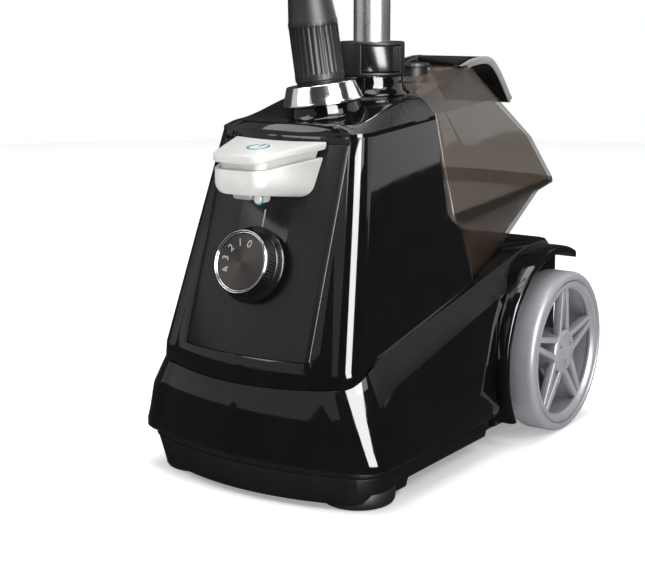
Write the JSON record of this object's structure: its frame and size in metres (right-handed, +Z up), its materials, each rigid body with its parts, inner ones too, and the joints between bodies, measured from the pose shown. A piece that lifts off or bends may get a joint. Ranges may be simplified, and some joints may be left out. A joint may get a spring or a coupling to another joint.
{
  "type": "garment steamer",
  "caption": "Upright garment steamer on wheels with a lift-off water tank, telescopic pole, clothes hanger and a steam handset on a hose.",
  "frame": {"origin": "floor level, at the centre of the box of everything but the hose", "axes": "+Z up along the pole, -Y towards the front with the selector knob, +X to the right as seen from the front"},
  "size_m": [0.4929, 0.362, 1.6332],
  "materials": {
    "gloss_black": "polished black plastic",
    "panel_black": "satin dark grey plastic",
    "matte_black": "fine textured black plastic",
    "knob_black": "knurled black plastic",
    "dial_face": "spun dark anodised face",
    "wheel_silver": "silver painted plastic",
    "switch_steel": "brushed and clear coated",
    "spring_steel": "plain wire",
    "bright_chrome": "polished",
    "pole_aluminium": "drawn and anodised",
    "cast_aluminium": "as cast",
    "tank_smoke": "clear smoke-brown plastic",
    "handset_white": "silver-white painted plastic",
    "seal_rubber": "plain",
    "hose_braid": "white braid with a dark fleck"
  },
  "bodies": {
    "base": {"base_pan": "matte_black", "front_foot_right": "matte_black", "front_foot_left": "matte_black", "lower_shell": "gloss_black", "wheel_housing_right": "gloss_black", "wheel_housing_left": "gloss_black", "cord_inlet": "matte_black", "upper_housing": "gloss_black", "front_panel": "panel_black", "top_deck": "gloss_black", "hose_port_collar": "bright_chrome", "hose_port_spigot": "gloss_black", "pole_socket": "gloss_black", "selector_switch": "matte_black", "foot_switch_body": "switch_steel", "foot_switch_spring": "spring_steel", "foot_switch_contact": "seal_rubber", "boiler": "cast_aluminium", "heating_element": "spring_steel", "steam_pipe": "seal_rubber", "feed_pipe": "seal_rubber", "tank_seat": "matte_black", "wheel_axle": "spring_steel", "pole_lower": "pole_aluminium", "base_clamp": "panel_black", "pole_clamp_lower": "panel_black", "hose_cuff": "gloss_black", "hose_guard": "matte_black", "hose_lower": "hose_braid"},
    "right_wheel": {"wheel_right": "wheel_silver"},
    "left_wheel": {"wheel_left": "wheel_silver"},
    "selector": {"selector_knob": "knob_black", "knob_dial": "dial_face"},
    "foot_switch": {"foot_switch_plate": "switch_steel"},
    "tank": {"water_tank": "tank_smoke", "tank_handle": "handset_white", "tank_valve": "matte_black"},
    "filler_cap": {"tank_cap": "matte_black"},
    "base_latch": {"base_clamp_latch": "matte_black"},
    "lower_lever": {"clamp_lever_lower": "matte_black"},
    "middle_pole": {"pole_middle": "pole_aluminium", "pole_clamp_upper": "panel_black", "hose_middle": "hose_braid"},
    "upper_lever": {"clamp_lever_upper": "matte_black"},
    "upper_pole": {"pole_upper": "pole_aluminium", "hanger_hub": "panel_black", "handset_cradle": "panel_black"},
    "right_arm": {"hanger_arm_right": "panel_black", "trouser_rod_right": "bright_chrome"},
    "left_arm": {"hanger_arm_left": "panel_black", "trouser_rod_left": "bright_chrome"},
    "right_clip": {"clip_right": "matte_black"},
    "left_clip": {"clip_left": "matte_black"},
    "handset": {"handset_grip": "matte_black", "steam_head": "handset_white", "steam_plate": "switch_steel", "hose_upper": "hose_braid"},
    "trigger": {"steam_trigger": "wheel_silver"}
  },
  "joints": [
    {"name": "right_wheel_spin", "type": "hinge", "parent": "base", "child": "right_wheel", "pos_m": [0.108, 0.098, 0.065], "axis": [1, 0, 0], "continuous": true},
    {"name": "left_wheel_spin", "type": "hinge", "parent": "base", "child": "left_wheel", "pos_m": [-0.108, 0.098, 0.065], "axis": [1, 0, 0], "continuous": true},
    {"name": "selector_turn", "type": "hinge", "parent": "base", "child": "selector", "pos_m": [0, -0.15773, 0.163], "axis": [0, 0.9496, -0.3134], "range_deg": [0, 140]},
    {"name": "foot_switch_press", "type": "hinge", "parent": "base", "child": "foot_switch", "pos_m": [0, -0.127, 0.244], "axis": [1, 0, 0], "range_deg": [0, 4], "stiffness_Nm_per_rad": 8, "springref_deg": -1.15, "deforming": ["foot_switch_spring"]},
    {"name": "tank_lift", "type": "slide", "parent": "base", "child": "tank", "axis": [0, 0, 1], "range_m": [0, 0.055]},
    {"name": "filler_cap_turn", "type": "hinge", "parent": "tank", "child": "filler_cap", "pos_m": [0, 0.053, 0.285], "axis": [0, 0, 1], "range_deg": [0, 90]},
    {"name": "base_latch_open", "type": "hinge", "parent": "base", "child": "base_latch", "pos_m": [0.00697, -0.03332, 0.3], "axis": [0, 0, -1], "range_deg": [0, 60]},
    {"name": "lower_lever_open", "type": "hinge", "parent": "base", "child": "lower_lever", "pos_m": [0.00587, -0.02948, 0.671], "axis": [0, 0, -1], "range_deg": [0, 60]},
    {"name": "middle_pole_slide", "type": "slide", "parent": "base", "child": "middle_pole", "axis": [0, 0, 1], "range_m": [-0.14, 0.08], "deforming": ["hose_lower"]},
    {"name": "upper_lever_open", "type": "hinge", "parent": "middle_pole", "child": "upper_lever", "pos_m": [0.00518, -0.02707, 0.934], "axis": [0, 0, -1], "range_deg": [0, 60]},
    {"name": "upper_pole_slide", "type": "slide", "parent": "middle_pole", "child": "upper_pole", "axis": [0, 0, 1], "range_m": [-0.18, 0], "deforming": ["hose_middle"]},
    {"name": "right_arm_fold", "type": "hinge", "parent": "upper_pole", "child": "right_arm", "pos_m": [0.03, -0.009, 1.464], "axis": [0, -1, 0], "range_deg": [0, 60]},
    {"name": "left_arm_fold", "type": "hinge", "parent": "upper_pole", "child": "left_arm", "pos_m": [-0.03, -0.009, 1.464], "axis": [0, 1, 0], "range_deg": [0, 60]},
    {"name": "right_clip_slide", "type": "slide", "parent": "right_arm", "child": "right_clip", "axis": [1, 0, 0], "range_m": [-0.02, 0.03]},
    {"name": "left_clip_slide", "type": "slide", "parent": "left_arm", "child": "left_clip", "axis": [-1, 0, 0], "range_m": [-0.02, 0.03]},
    {"name": "handset_unhook", "type": "slide", "parent": "upper_pole", "child": "handset", "axis": [0, -1, 0], "range_m": [0, 0.06], "deforming": ["hose_upper"]},
    {"name": "trigger_squeeze", "type": "slide", "parent": "handset", "child": "trigger", "axis": [0, 1, 0], "range_m": [0, 0.0025], "stiffness_N_per_m": 900, "springref_m": -0.001}
  ]
}
